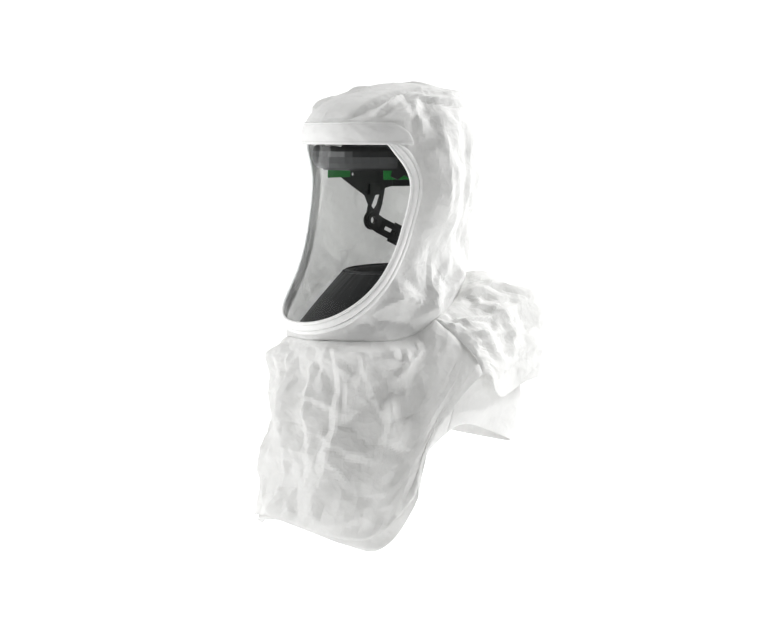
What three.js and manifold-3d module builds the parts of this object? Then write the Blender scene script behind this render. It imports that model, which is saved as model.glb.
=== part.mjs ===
// Hooded powered air respirator: shroud, lens, neck collar, double bib and head harness.
// Millimetres, +Z up. The origin is the centre of the headband. -Y is the wearer's front
// and +X the wearer's left.
import * as THREE from 'three';
import { mergeVertices } from 'three/addons/utils/BufferGeometryUtils.js';
import Module from 'manifold-3d';

const wasm = await Module();
wasm.setup();

// ---------------------------------------------------------------- driving dimensions
const GAP = 0.4;                 // clearance between pieces that touch
const CLOTH = 1.4;               // thickness of the nonwoven sheets
const EDGE_GAP = 1.0;            // clearance along the sewn edges of curved sheets

const SHROUD_WIDTH = 228;        // shroud at the headband, ear to ear
const SHROUD_DEPTH = 268;        // shroud at the headband, brow to back
const SHROUD_Y = -6;             // its centre ahead of the headband centre
const CROWN_Z = 40;              // where the side walls turn into the crown
const CROWN_HEIGHT = 88;         // rise of the crown above that line
const BROW_DROP = 0.38;          // how much lower the crown is at the brow
const SEAM_Z = -217;             // shroud to bib seam at the front
const SEAM_RISE = 80;            // how much higher that seam is at the nape

const LENS_TOP = 45;             // top edge of the lens
const LENS_BELLY = -68;          // height where the lens is widest
const LENS_BOTTOM = -202;        // lowest point of the lens
const LENS_TOP_ANGLE = 54;       // half angles of the lens round the head
const LENS_ANGLE = 74;
const LENS_THICK = 1.0;
const TRIM_WIDTH = 14;
const TRIM_HEIGHT = 3.2;
const SEWN_IN = 0.6;             // how far each edge of the trim is tucked back
const BROW_STRIP = 27;           // height of the plain strip above the lens
const STRIP_ANGLE = 60;          // half angle of its top edge

const BAND_WIDTH = 156;          // headband, ear to ear
const BAND_DEPTH = 196;          // headband, brow to back
const BAND_Y = -2;
const BAND_TOP = 32;
const BAND_THICK = 2.2;
const CROWN_STRAP_RISE = 78;
const VENT_ROWS = 3;
const VENT_PITCH = 9;
const VENT_RADIUS = 2.6;
const ARM_INSET = 3.4;           // inner face of the flat side arms inside the headband's outside
const ARM_THICK = 2.4;
const ARM_X = BAND_WIDTH / 2 - ARM_INSET;
const CROWN_STRAP_X = ARM_X + GAP; // half span of the strap over the head
const STRAP_RIVET_Z = 24;        // crown strap rivets
const RIVET_HOLE = 2.4;
const PIVOT_Y = 24;              // nape pivot
const PIVOT_Z = -66;
const PIVOT_RING = 14;           // outer radius of the ring round the pivot
const EYELET_HOLE = 5.6;         // open radius through the eyelet
const EYELET_WALL = 1.4;
const EYELET_OUTER = EYELET_HOLE + EYELET_WALL;
const EYELET_FLANGE = 2.5;
const STRAP_THICK = 2.4;
const STRAP_WIDTH = 24;
const STRAP_LENGTH = 45;         // from the pivot to the strap's end
const STRAP_SLOPE = 31;          // degrees below the horizontal
const STRAP_BEND = 16;           // where the straps start to close in behind the ears
const STRAP_TAPER = 0.5;         // how fast they close in
const CRADLE_FRONT = 34;         // distances from the pivot, along the strap
const CRADLE_BEND = 45;
const CRADLE_BACK = 60;
const CRADLE_HEIGHT = 30;
const CRADLE_THICK = 2.2;
const CRADLE_ROUND = 1;          // 1 is an ellipse, less is squarer
const SLOT_MARGIN = 6;           // strap left beyond the ends of its slot
const KNOB_RADIUS = 17;
const KNOB_DEPTH = 6.7;
const PINION_RADIUS = 4;
const SCREW_RADIUS = 1.7;

const INLET_RADIUS = 12.5;       // bore of the air inlet
const INLET_WALL = 1.7;
const SWIVEL_GAP = 0.5;
const SWIVEL_WALL = 2.7;
const TAB_REACH = 4.2;           // release tabs beyond the swivel's outside
const TAB_CLEAR = 0.9;           // between the tabs and the back of the hood
const SWIVEL_RADIUS = INLET_RADIUS + INLET_WALL + SWIVEL_GAP + SWIVEL_WALL;
const INLET_Y = SHROUD_Y + SHROUD_DEPTH / 2 - CLOTH - TAB_CLEAR - TAB_REACH - SWIVEL_RADIUS;
const DUCT_WIDTH = 52;
const DUCT_HEIGHT = 12;
const DUCT_WALL = 1.6;
const DUCT_TOP = 110;            // centreline of the duct over the crown

const NECK_RADIUS = 62;          // opening of the neck collar
const NECK_Z = -130;
const NECK_Y = -10;
const NECK_TILT = 3;             // how much lower the front of the opening is

// ---------------------------------------------------------------- colours
const look = (color, roughness, metalness = 0) =>
  new THREE.MeshStandardMaterial({ color, roughness, metalness });
const WHITE_CLOTH = look('#eeefef', 0.85);
const BINDING = look('#f4f4f3', 0.75);
const CLEAR = new THREE.MeshStandardMaterial(
  { color: '#e8edef', roughness: 0.08, transparent: true, opacity: 0.25 });
const BLACK_CLOTH = look('#17181a', 0.9);
const BLACK_PLASTIC = look('#1c1d1f', 0.5);
const GREEN = look('#3f9a4c', 0.6);
const FOAM = look('#242628', 0.95);
const RUBBER = look('#121314', 0.8);
const STEEL = look('#b9bcc0', 0.3, 0.9);

// ---------------------------------------------------------------- geometry helpers
const rad = THREE.MathUtils.degToRad;
const lerp = THREE.MathUtils.lerp;
const V = (x, y, z) => new THREE.Vector3(x, y, z);
const root = new THREE.Group();

function addMesh(name, geometry, material) {
  const mesh = new THREE.Mesh(geometry, material);
  mesh.name = name;
  root.add(mesh);
  return mesh;
}

// Cubic through the rows of a table: the first column is the variable.
function tableAt(rows, x, column) {
  const sign = rows.at(-1)[0] > rows[0][0] ? 1 : -1;
  let k = rows.findIndex((row) => (x - row[0]) * sign < 0) - 1;
  if (k === -2) k = rows.length - 2;
  k = Math.min(Math.max(k, 0), rows.length - 2);
  const slope = (i) => {
    const a = rows[Math.max(i - 1, 0)];
    const b = rows[Math.min(i + 1, rows.length - 1)];
    return (b[column] - a[column]) / (b[0] - a[0]);
  };
  const h = rows[k + 1][0] - rows[k][0];
  const u = THREE.MathUtils.clamp((x - rows[k][0]) / h, 0, 1);
  const p = rows[k][column];
  const q = rows[k + 1][column];
  return (2 * u ** 3 - 3 * u ** 2 + 1) * p + (3 * u ** 2 - 2 * u ** 3) * q
    + (u ** 3 - 2 * u ** 2 + u) * h * slope(k) + (u ** 3 - u ** 2) * h * slope(k + 1);
}

// A closed sheet: the surface at(u, v) as the outer skin, thickened inwards. The point of
// at() may carry its own depth; a wrapped sheet closes on itself along u, as a tube does.
function sheet(at, nu, nv, thickness, { wrap = false } = {}) {
  const columns = wrap ? nu : nu + 1;
  const outer = [];
  for (let j = 0; j <= nv; j++) {
    for (let i = 0; i < columns; i++) outer.push(at(i / nu, j / nv));
  }
  const id = (i, j) => j * columns + (wrap ? (i + nu) % nu : Math.min(Math.max(i, 0), nu));
  const row = (j) => Math.min(Math.max(j, 0), nv);
  const inner = outer.map((point, k) => {
    const j = Math.floor(k / columns);
    const i = k % columns;
    const du = outer[id(i + 1, j)].clone().sub(outer[id(i - 1, j)]);
    const dv = outer[id(i, row(j + 1))].clone().sub(outer[id(i, row(j - 1))]);
    const normal = du.cross(dv).normalize();
    const depth = typeof thickness === 'function' ? thickness(i / nu, j / nv) : thickness;
    return point.clone().addScaledVector(normal, -depth);
  });
  const n = outer.length;
  const faces = [];
  const quad = (a, b, c, d) => faces.push(a, b, c, a, c, d);
  for (let j = 0; j < nv; j++) {
    for (let i = 0; i < nu; i++) {
      quad(id(i, j), id(i + 1, j), id(i + 1, j + 1), id(i, j + 1));
      quad(n + id(i, j), n + id(i, j + 1), n + id(i + 1, j + 1), n + id(i + 1, j));
    }
  }
  for (let i = 0; i < nu; i++) {
    quad(id(i, 0), n + id(i, 0), n + id(i + 1, 0), id(i + 1, 0));
    quad(id(i, nv), id(i + 1, nv), n + id(i + 1, nv), n + id(i, nv));
  }
  if (!wrap) {
    for (let j = 0; j < nv; j++) {
      quad(id(0, j), id(0, j + 1), n + id(0, j + 1), n + id(0, j));
      quad(id(nu, j), n + id(nu, j), n + id(nu, j + 1), id(nu, j + 1));
    }
  }
  return indexed([...outer, ...inner].flatMap((p) => [p.x, p.y, p.z]), faces);
}

function indexed(positions, faces) {
  const geometry = new THREE.BufferGeometry();
  geometry.setAttribute('position', new THREE.Float32BufferAttribute(positions, 3));
  geometry.setIndex(faces);
  return geometry;
}

function solid(geometry) {
  const bare = geometry.clone();
  bare.deleteAttribute('normal');
  bare.deleteAttribute('uv');
  const merged = mergeVertices(bare, 1e-4);
  return new wasm.Manifold(new wasm.Mesh({
    numProp: 3,
    vertProperties: new Float32Array(merged.attributes.position.array),
    triVerts: new Uint32Array(merged.index.array),
  }));
}

function shell(manifold) {
  const mesh = manifold.getMesh();
  return indexed(Array.from(mesh.vertProperties), Array.from(mesh.triVerts));
}

const cut = (geometry, ...tools) =>
  shell(tools.reduce((body, tool) => body.subtract(solid(tool)), solid(geometry)));
const join = (...pieces) =>
  shell(pieces.map(solid).reduce((body, piece) => body.add(piece)));
const keep = (geometry, tool) => shell(solid(geometry).intersect(solid(tool)));

// Mirror to the wearer's right side.
function mirrored(geometry) {
  const copy = geometry.clone();
  copy.scale(-1, 1, 1);
  const faces = Array.from(copy.index ? copy.index.array : copy.attributes.position.array.keys());
  for (let k = 0; k < faces.length; k += 3) [faces[k], faces[k + 1]] = [faces[k + 1], faces[k]];
  copy.setIndex(faces);
  return copy;
}

function box(x0, x1, y0, y1, z0, z1) {
  const geometry = new THREE.BoxGeometry(x1 - x0, y1 - y0, z1 - z0);
  return geometry.translate((x0 + x1) / 2, (y0 + y1) / 2, (z0 + z1) / 2);
}

// A ring or a plug turned about Z from a closed profile of [radius, height] points.
function turned(profile, segments = 32) {
  return new THREE.LatheGeometry(profile.map(([r, z]) => new THREE.Vector2(r, z)), segments)
    .rotateX(Math.PI / 2);
}

const ring = (r0, r1, z0, z1, segments) =>
  turned([[r0, z0], [r1, z0], [r1, z1], [r0, z1], [r0, z0]], segments);

// A plate whose outline is drawn in the Y-Z plane, between two X values.
function sidePlate(outline, x0, x1) {
  const shape = new THREE.Shape(outline.map(([y, z]) => new THREE.Vector2(y, z)));
  const plate = new THREE.ExtrudeGeometry(shape, { depth: x1 - x0, bevelEnabled: false });
  return plate.applyMatrix4(new THREE.Matrix4().set(
    0, 0, 1, x0,
    1, 0, 0, 0,
    0, 1, 0, 0,
    0, 0, 0, 1));
}

function discOutline(y, z, radius, segments = 24) {
  return Array.from({ length: segments }, (_, k) => {
    const angle = k / segments * 2 * Math.PI;
    return [y + radius * Math.cos(angle), z + radius * Math.sin(angle)];
  });
}

// ---------------------------------------------------------------- the shroud's surface
// Change of the wall's half width, half depth and centre from the headband line down to
// the bib seam, as height, widening, deepening and centre shift.
const WALL = [
  [40, -2, -3, 5], [0, 0, 0, 0], [-35, -3, 0, -10], [-85, -9, 2, -23],
  [-125, -13, 4, -30], [-170, -15, 3, -32], [-200, -11, -4, -30], [-217, -6, -8, -28]];

function wallAt(z) {
  return {
    b: SHROUD_WIDTH / 2 + tableAt(WALL, z, 1),
    a: SHROUD_DEPTH / 2 + tableAt(WALL, z, 2),
    y: SHROUD_Y + tableAt(WALL, z, 3),
  };
}

// Point of the side wall at an angle from the front (degrees, + towards the wearer's left).
function wall(angle, z, inset = 0) {
  const { b, a, y } = wallAt(z);
  const t = rad(angle);
  return V((b - inset) * Math.sin(t), y - (a - inset) * Math.cos(t), z);
}

// Point of the crown: reach is 1 at the wall and 0 at the top.
function crown(angle, reach, inset = 0) {
  const { b, a, y } = wallAt(CROWN_Z);
  const front = Math.max(Math.cos(rad(angle)), 0);
  const square = 2.9 + 4.1 * front ** 2;
  const shoulder = 1 / (2.4 + 0.6 * front ** 2);
  const drop = BROW_DROP * (front * reach) ** 1.1;
  const rise = CROWN_HEIGHT * (1 - drop) * (1 - reach ** square) ** shoulder;
  const t = rad(angle);
  return V((b - inset) * Math.sin(t) * reach, y - (a - inset) * Math.cos(t) * reach,
    CROWN_Z + rise - inset * (1 - reach));
}

// The reach at which the crown passes a given height.
function reachAt(angle, z) {
  let low = 0;
  let high = 1;
  for (let k = 0; k < 30; k++) {
    const middle = (low + high) / 2;
    if (crown(angle, middle).z > z) low = middle;
    else high = middle;
  }
  return (low + high) / 2;
}

const seamAt = (angle) =>
  SEAM_Z + SEAM_RISE * THREE.MathUtils.smoothstep(Math.abs(angle), 60, 180);

// Wall point, or crown point above the wall.
function skin(angle, z, inset = 0) {
  return z <= CROWN_Z ? wall(angle, z, inset) : crown(angle, reachAt(angle, z), inset);
}

// ---------------------------------------------------------------- lens outline
// Half of the outline from the top corner (0) to the bottom point (1), as angle and height.
function lensEdge(w) {
  const split = 0.4;
  if (w < split) {
    const z = lerp(LENS_TOP, LENS_BELLY, w / split);
    const up = (z - LENS_BELLY) / (LENS_TOP - LENS_BELLY);
    return [LENS_ANGLE - (LENS_ANGLE - LENS_TOP_ANGLE) * up ** 3.2, z];
  }
  const phi = (w - split) / (1 - split) * Math.PI / 2;
  return [LENS_ANGLE * Math.max(Math.cos(phi), 0) ** (2 / 2.2),
    LENS_BELLY + (LENS_BOTTOM - LENS_BELLY) * Math.sin(phi) ** (2 / 2.4)];
}

// The outline moved outwards along the cloth by a distance in millimetres.
function lensEdgeAt(w, out) {
  const step = 0.004;
  const [a0, z0] = lensEdge(Math.max(w - step, 0));
  const [a1, z1] = lensEdge(Math.min(w + step, 1));
  const [angle, z] = lensEdge(w);
  const perDegree = wall(angle + 1, z).distanceTo(wall(angle, z));
  const du = (a1 - a0) * perDegree * THREE.MathUtils.smoothstep(w, 0, 0.08);
  const dz = z1 - z0;
  const length = Math.hypot(du, dz);
  const a = angle - dz / length * out / perDegree;
  const height = z + du / length * out;
  return w >= 1 ? [0, z - out] : [a, Math.min(height, LENS_TOP)];
}

// ---------------------------------------------------------------- shroud and lens
function coons(left, right, top, bottom) {
  return (u, w) => [0, 1].map((k) =>
    (1 - u) * left(w)[k] + u * right(w)[k] + (1 - w) * top(u)[k] + w * bottom(u)[k]
    - (1 - u) * (1 - w) * left(0)[k] - u * (1 - w) * right(0)[k]
    - (1 - u) * w * left(1)[k] - u * w * right(1)[k]);
}

function shroudSide() {
  const turn = 0.9;                       // where the lens edge ends and the front seam starts
  const seamGap = EDGE_GAP;
  const left = (w) => {
    const lowest = LENS_BOTTOM - TRIM_WIDTH / 2 - EDGE_GAP;
    if (w <= turn) {
      const [a, z] = lensEdgeAt(w / turn, TRIM_WIDTH / 2 + EDGE_GAP);
      return [Math.max(a, 0.2), z];
    }
    return [0.2, lerp(lowest, SEAM_Z + seamGap, (w - turn) / (1 - turn))];
  };
  const right = (w) => [179.8, lerp(CROWN_Z - seamGap, seamAt(180) + seamGap, w)];
  const top = (u) => {
    const [a, z] = left(0);
    return [lerp(a, 179.8, u), lerp(z, CROWN_Z - seamGap, Math.min(u * 20, 1))];
  };
  const bottom = (u) => [lerp(0.2, 179.8, u), seamAt(lerp(0.2, 179.8, u)) + seamGap];
  const patch = coons(left, right, top, bottom);
  return sheet((u, w) => {
    const [a, z] = patch(1 - u, w);
    return skin(a, z);
  }, 14, 14, CLOTH);
}

function shroudCrown() {
  const columns = 36;
  return sheet((u, v) => {
    const angle = 360 * u;
    const fromFront = Math.abs(((angle + 540) % 360) - 180);
    const low = fromFront < STRIP_ANGLE + 0.5
      ? reachAt(angle, LENS_TOP + BROW_STRIP + GAP) : reachAt(angle, CROWN_Z + 6 * GAP);
    return crown(angle, lerp(low, 0.02, v ** 1.8));
  }, columns, 7, CLOTH, { wrap: true });
}

function browStrip() {
  const flare = 9;                      // degrees the ends widen towards the lower edge
  return sheet((u, v) => {
    const half = STRIP_ANGLE - 0.6 + flare * (1 - v);
    const angle = lerp(-half, half, u);
    return skin(angle, lerp(LENS_TOP + GAP, LENS_TOP + BROW_STRIP, v));
  }, 14, 3, CLOTH);
}

function lens() {
  const out = -(TRIM_WIDTH / 2 + 2.8 * EDGE_GAP);
  let last = 1;                           // the lowest row is a short straight edge
  while (lensEdgeAt(last, out)[0] < 5) last -= 0.002;
  return sheet((u, v) => {
    const [a, z] = lensEdgeAt(lerp(last, 0, v), out);
    return skin(a * Math.sin(lerp(-1, 1, u) * Math.PI / 2), Math.min(z, LENS_TOP - GAP));
  }, 16, 13, LENS_THICK);
}

function lensTrim() {
  const half = TRIM_WIDTH / 2 - SEWN_IN;
  const edge = (s, out) => {
    const w = 1 - Math.abs(s);
    const [a, z] = lensEdgeAt(w, out);
    return [s < 0 ? -a : a, z];
  };
  return sheet((u, v) => {
    const [a, height] = edge(lerp(-1, 1, u), lerp(half, -half, v));
    const z = Math.min(height, LENS_TOP - 4 * EDGE_GAP);
    const bead = TRIM_HEIGHT * Math.abs(Math.sin(2 * Math.PI * v)) ** 0.6;
    const point = skin(a, z);
    const away = V(point.x, point.y - wallAt(Math.min(z, CROWN_Z)).y, 0).normalize();
    return point.addScaledVector(away, bead);
  }, 36, 6, (u, v) => 1.2 + TRIM_HEIGHT * Math.abs(Math.sin(2 * Math.PI * v)) ** 0.6);
}

// ---------------------------------------------------------------- bibs
// Half way and hem points of the outer bib against the angle round the neck.
const OUTER_MID = [
  [0, 0, -178, -330], [22, 54, -172, -332], [46, 104, -134, -338], [62, 128, -100, -335],
  [77, 140, -70, -316], [86, 150, -44, -280], [96, 152, 0, -226], [106, 150, 40, -224],
  [118, 138, 84, -222], [140, 104, 170, -203], [160, 60, 196, -200], [180, 0, 202, -199]];
const OUTER_HEM = [
  [0, 0, -214, -452], [22, 54, -204, -459], [46, 107, -170, -472], [62, 131, -138, -467],
  [77, 146, -98, -426], [86, 149, -64, -350], [96, 178, 6, -262], [106, 166, 48, -292],
  [118, 150, 80, -302], [140, 114, 162, -282], [160, 60, 190, -284], [180, 0, 197, -286]];
const INNER_MID = [
  [0, 0, -166, -334], [22, 51, -160, -336], [46, 96, -124, -340], [62, 119, -92, -338],
  [77, 129, -62, -316], [86, 138, -40, -284], [96, 138, 0, -240], [106, 136, 38, -242],
  [118, 122, 74, -252], [140, 92, 150, -264], [160, 54, 172, -264], [180, 0, 177, -264]];
const INNER_HEM = [
  [0, 0, -204, -458], [22, 52, -195, -466], [46, 102, -164, -482], [62, 128, -132, -488],
  [77, 142, -94, -450], [86, 144, -66, -378], [96, 138, -20, -345], [106, 128, 20, -338],
  [118, 112, 70, -350], [140, 92, 146, -377], [160, 52, 166, -384], [180, 0, 172, -386]];

function bib(mid, hem, fromAngle, toAngle, inset, nu, nv) {
  const at = (rows, angle) => {
    const size = Math.abs(angle);
    return V(Math.sign(angle) * tableAt(rows, size, 1), tableAt(rows, size, 2),
      tableAt(rows, size, 3));
  };
  return sheet((u, v) => {
    const turn = lerp(fromAngle, toAngle, u);
    const angle = turn > 180 ? turn - 360 : turn;
    const start = wall(angle, seamAt(angle) - EDGE_GAP, inset);
    const through = at(mid, angle);
    const end = at(hem, angle);
    const s = 1 - v;
    return start.multiplyScalar((1 - s) * (1 - 2 * s))
      .addScaledVector(through, 4 * s * (1 - s))
      .addScaledVector(end, s * (2 * s - 1));
  }, nu, nv, CLOTH);
}

// ---------------------------------------------------------------- neck collar
function collarPoint(angle, v) {
  const t = rad(angle);
  const rim = V(NECK_RADIUS * Math.sin(t), NECK_Y - NECK_RADIUS * Math.cos(t),
    NECK_Z - NECK_TILT * Math.cos(t));
  const seat = seamAt(angle) + 3 - 8 * Math.cos(t) * 0.2;
  const foot = wall(angle, seat, CLOTH + GAP + 3);
  return rim.lerp(foot, v).add(V(0, 0, (8 * Math.cos(t) - 3) * Math.sin(Math.PI * v)));
}

function neckCollar() {
  return sheet((u, v) => collarPoint(360 * u - 180, 1 - v), 32, 3, CLOTH, { wrap: true });
}

function collarElastic() {
  const section = Array.from({ length: 7 }, (_, k) => {
    const phi = k / 6 * 2 * Math.PI;
    return [NECK_RADIUS - 4 + 2.4 * Math.cos(phi), 2.4 * Math.sin(phi)];
  });
  const hoop = turned(section, 28);
  const tilt = Math.atan2(NECK_TILT, NECK_RADIUS);
  return hoop.rotateX(tilt).translate(0, NECK_Y, NECK_Z);
}

// ---------------------------------------------------------------- headband frame
// Point of the headband: a superellipse, moved outwards by a distance.
function band(angle, z, out = 0) {
  const power = 2 / 2.4;
  const t = rad(angle);
  const s = Math.sin(t);
  const c = Math.cos(t);
  return V((BAND_WIDTH / 2 + out) * Math.sign(s) * Math.abs(s) ** power,
    BAND_Y - (BAND_DEPTH / 2 + out) * Math.sign(c) * Math.abs(c) ** power, z);
}

function bandSheet(from, to, low, high, out, nu, nv, thickness) {
  return sheet((u, v) => {
    const angle = lerp(from, to, u);
    return band(angle, lerp(low, high, v), out);
  }, nu, nv, thickness);
}

// Side view of the frame: front band, vented side plate and rear tail.
function frameOutline() {
  return [[-104, BAND_TOP], [-20, BAND_TOP], [22, 20], [50, 3], [58, 0], [58, -17], [46, -20],
    [20, -37], [8, -28], [-42, 2], [-52, -4], [-60, 0], [-58, 8], [-104, 8]];
}

// Rows of vents through both side plates, and the holes of the crown strap rivets.
function ventHoles() {
  const across = (y, z, radius, sides) =>
    sidePlate(discOutline(y, z, radius, sides), -BAND_WIDTH, BAND_WIDTH);
  const vents = [];
  for (let row = 0; row < VENT_ROWS; row++) {
    for (let k = 0; k < 5 - row; k++) {
      vents.push(across(-42 + VENT_PITCH * k + 7 * row, 18 - VENT_PITCH * row, VENT_RADIUS, 6));
    }
  }
  return [...vents, across(0, STRAP_RIVET_Z, RIVET_HOLE, 12)];
}

function headbandFrame() {
  const wrap = bandSheet(-142, 142, -42, BAND_TOP + 2, 0, 40, 2, BAND_THICK);
  const outline = sidePlate(frameOutline(), -BAND_WIDTH, BAND_WIDTH);
  const front = cut(keep(wrap, outline), ...ventHoles());
  const limb = [[8, -24], [48, -10], [48, -22], [43, -44], [35, -64], [24, -70], [13, -64],
    [18, -44]];
  const window = [[23, -46], [32, -27], [41, -25], [34, -44], [28, -51]];
  const arm = cut(
    join(sidePlate(limb, ARM_X, ARM_X + ARM_THICK),
      sidePlate(discOutline(PIVOT_Y, PIVOT_Z, PIVOT_RING), ARM_X, ARM_X + ARM_THICK)),
    sidePlate(window, ARM_X - 1, ARM_X + ARM_THICK + 1),
    sidePlate(discOutline(PIVOT_Y, PIVOT_Z, EYELET_OUTER + GAP), ARM_X - 1, ARM_X + 4));
  const bridge = box(ARM_X - 3, ARM_X + ARM_THICK, 18, 44, -30, -14);
  return join(front, arm, mirrored(arm), bridge, mirrored(bridge));
}

// ---------------------------------------------------------------- headband fittings
const insideBand = -(BAND_THICK + GAP);

function browDiffuser() {
  const profile = [
    [0, 8, 11], [0.15, 12, 17], [0.35, 15, 27], [0.58, 13.5, 36.5], [0.8, 8.5, 42.4], [1, 3.4, 43]];
  const visor = sheet((u, v) => band(lerp(-62, 62, u), tableAt(profile, v, 2),
    tableAt(profile, v, 1)), 16, 6, 1.6);
  return cut(visor, box(-21, 21, -109.5, -103.5, 38, 48));
}

function crownStrapPoint(phi, y, inset) {
  return V((CROWN_STRAP_X - inset) * Math.cos(phi), y,
    STRAP_RIVET_Z - 6 + (CROWN_STRAP_RISE - inset) * Math.sin(phi));
}

function crownStrap() {
  const web = sheet((u, v) => {
    const phi = Math.PI * u;
    const drop = (1 - Math.sin(phi)) ** 4 * 6;
    return crownStrapPoint(phi, lerp(9, -9, v), 0).add(V(0, 0, -drop));
  }, 20, 1, 1.8);
  return cut(web, sidePlate(discOutline(0, STRAP_RIVET_Z, RIVET_HOLE, 12), -90, 90));
}

function crownPad() {
  return sheet((u, v) => crownStrapPoint(lerp(0.36, 0.64, u) * Math.PI, lerp(18, -18, v),
    1.8 + GAP), 8, 1, 4);
}

// A rivet along X: shank with a head on each side.
function rivet(x0, x1, shank, head, hollow = 0) {
  const start = hollow || 0;
  const profile = [[start, x0], [head, x0], [head, x0 + 1], [shank, x0 + 1], [shank, x1 - 1],
    [head, x1 - 1], [head, x1], [start, x1]];
  if (hollow) profile.push([start, x0]);
  return turned(profile, hollow ? 16 : 10).rotateY(Math.PI / 2);
}

// ---------------------------------------------------------------- air supply
const ductPath = new THREE.CatmullRomCurve3([
  V(0, INLET_Y, 50.4), V(0, INLET_Y, 62), V(0, INLET_Y - 9, DUCT_TOP - 24),
  V(0, INLET_Y - 26, DUCT_TOP - 10),
  V(0, 55, DUCT_TOP - 3),
  V(0, 10, DUCT_TOP), V(0, -40, DUCT_TOP - 3), V(0, -78, DUCT_TOP - 17),
  V(0, -99, DUCT_TOP - 37), V(0, -105.5, 58), V(0, -105.5, 45.4)]);

function crownDuct() {
  const outer = INLET_RADIUS + INLET_WALL;
  return sheet((u, v) => {
    const centre = ductPath.getPoint(v);
    const along = ductPath.getTangent(v);
    const up = V(1, 0, 0).cross(along);
    const flat = THREE.MathUtils.smoothstep(v, 0.02, 0.3);
    const angle = -2 * Math.PI * u;
    const power = lerp(1, 0.7, flat);
    const c = Math.cos(angle);
    const s = Math.sin(angle);
    const side = lerp(outer, DUCT_WIDTH / 2, flat) * Math.sign(c) * Math.abs(c) ** power;
    const rise = lerp(outer, DUCT_HEIGHT / 2, flat) * Math.sign(s) * Math.abs(s) ** power;
    return centre.addScaledVector(V(1, 0, 0), side).addScaledVector(up, rise);
  }, 12, 15, DUCT_WALL, { wrap: true });
}

const atInlet = (geometry) => geometry.translate(0, INLET_Y, 0);
const spigotOuter = INLET_RADIUS + INLET_WALL;

function inletSpigot() {
  const r = INLET_RADIUS;
  const groove = spigotOuter - 0.7;
  return atInlet(turned([[r, 6], [spigotOuter, 6], [spigotOuter, 8.1], [groove, 8.1],
    [groove, 9.9], [spigotOuter, 9.9], [spigotOuter, 45.6], [r + 4, 45.6], [r + 4, 49.6],
    [r, 49.6], [r, 6]], 20));
}

const swivelBore = spigotOuter + SWIVEL_GAP;
const swivelOuter = SWIVEL_RADIUS;
const SWIVEL_BOTTOM = 3.4;

function swivelConnector() {
  const wide = swivelBore + 1.3;
  const body = turned([[wide, SWIVEL_BOTTOM], [swivelOuter, SWIVEL_BOTTOM], [swivelOuter, 30],
    [swivelBore, 30], [swivelBore, 22], [wide, 22], [wide, 18.8], [swivelBore, 18.8],
    [swivelBore, 11.2], [wide, 11.2], [wide, SWIVEL_BOTTOM]], 20);
  const guides = [-1, 1].flatMap((side) => [12.4, 18.6].map((z) => {
    const [near, far] = [side * (swivelOuter - 0.8), side * (swivelOuter + 2.6)];
    return box(Math.min(near, far), Math.max(near, far), -4, 4, z, z + 1);
  }));
  return atInlet(join(body, ...guides));
}

function releaseTab() {
  return atInlet(box(swivelOuter + 1.5, swivelOuter + TAB_REACH, -3.6, 3.6, 13.8, 18.2));
}

// ---------------------------------------------------------------- nape assembly
// The strap frame: along the strap from the pivot, across the head, and square to both.
const slope = rad(STRAP_SLOPE);
const strapFrame = new THREE.Matrix4().makeBasis(
  V(1, 0, 0), V(0, Math.cos(slope), -Math.sin(slope)), V(0, Math.sin(slope), Math.cos(slope)))
  .setPosition(0, PIVOT_Y, PIVOT_Z);
const onStrap = (x, along, up) => V(x, along, up).applyMatrix4(strapFrame);
const strapOuter = ARM_X - GAP;

const strapX = (along) => strapOuter - STRAP_TAPER * Math.max(along - STRAP_BEND, 0);

function napeStrap() {
  const half = STRAP_WIDTH / 2;
  const stations = [0, STRAP_BEND, STRAP_LENGTH];
  const bar = sheet((u, v) => {
    const along = stations[Math.round(2 * u)];
    return onStrap(strapX(along), along, lerp(-half, half, v));
  }, 2, 1, STRAP_THICK);
  const slot = box(ARM_X / 2, ARM_X * 1.2, STRAP_BEND + SLOT_MARGIN,
    STRAP_LENGTH - SLOT_MARGIN, -3, 3).applyMatrix4(strapFrame);
  const eye = sidePlate(discOutline(PIVOT_Y, PIVOT_Z, half), strapOuter - STRAP_THICK, strapOuter);
  const hole = sidePlate(discOutline(PIVOT_Y, PIVOT_Z, EYELET_OUTER + GAP),
    strapOuter - 2 * STRAP_THICK, strapOuter + STRAP_THICK);
  return cut(join(bar, eye), slot, hole);
}

// Path of the cradle round the nape, from the right strap (-1) to the left strap (1).
function cradlePoint(s, up, inset) {
  const straight = 0.82;
  const size = Math.abs(s);
  const side = (along) => strapX(along) + GAP + CRADLE_THICK - inset;
  if (size > straight) {
    const along = lerp(CRADLE_BEND, CRADLE_FRONT, (size - straight) / (1 - straight));
    return onStrap(Math.sign(s) * side(along), along, up);
  }
  const phi = s / straight * Math.PI / 2;
  const across = Math.sign(phi) * Math.sin(Math.abs(phi)) ** CRADLE_ROUND;
  const depth = CRADLE_BACK - CRADLE_BEND - inset;
  const back = CRADLE_BEND + depth * Math.max(Math.cos(phi), 0) ** CRADLE_ROUND;
  return onStrap(side(CRADLE_BEND) * across, back, up);
}

function napeCradle() {
  const half = CRADLE_HEIGHT / 2;
  return sheet((u, v) => cradlePoint(lerp(-1, 1, u), lerp(half, -half, v), 0), 30, 2,
    CRADLE_THICK);
}

function napePad() {
  return sheet((u, v) => cradlePoint(lerp(-0.4, 0.4, u), lerp(11, -11, v), CRADLE_THICK + 3 * GAP),
    12, 2, 4);
}

// Turned about the knob's axis; heights are distances from the pivot, along the strap.
const onKnobAxis = (geometry) => geometry.rotateX(-Math.PI / 2).applyMatrix4(strapFrame);

const baseStart = CRADLE_BACK + 0.6;
const knobStart = baseStart + 6.2;
const knobEnd = knobStart + KNOB_DEPTH;

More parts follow.
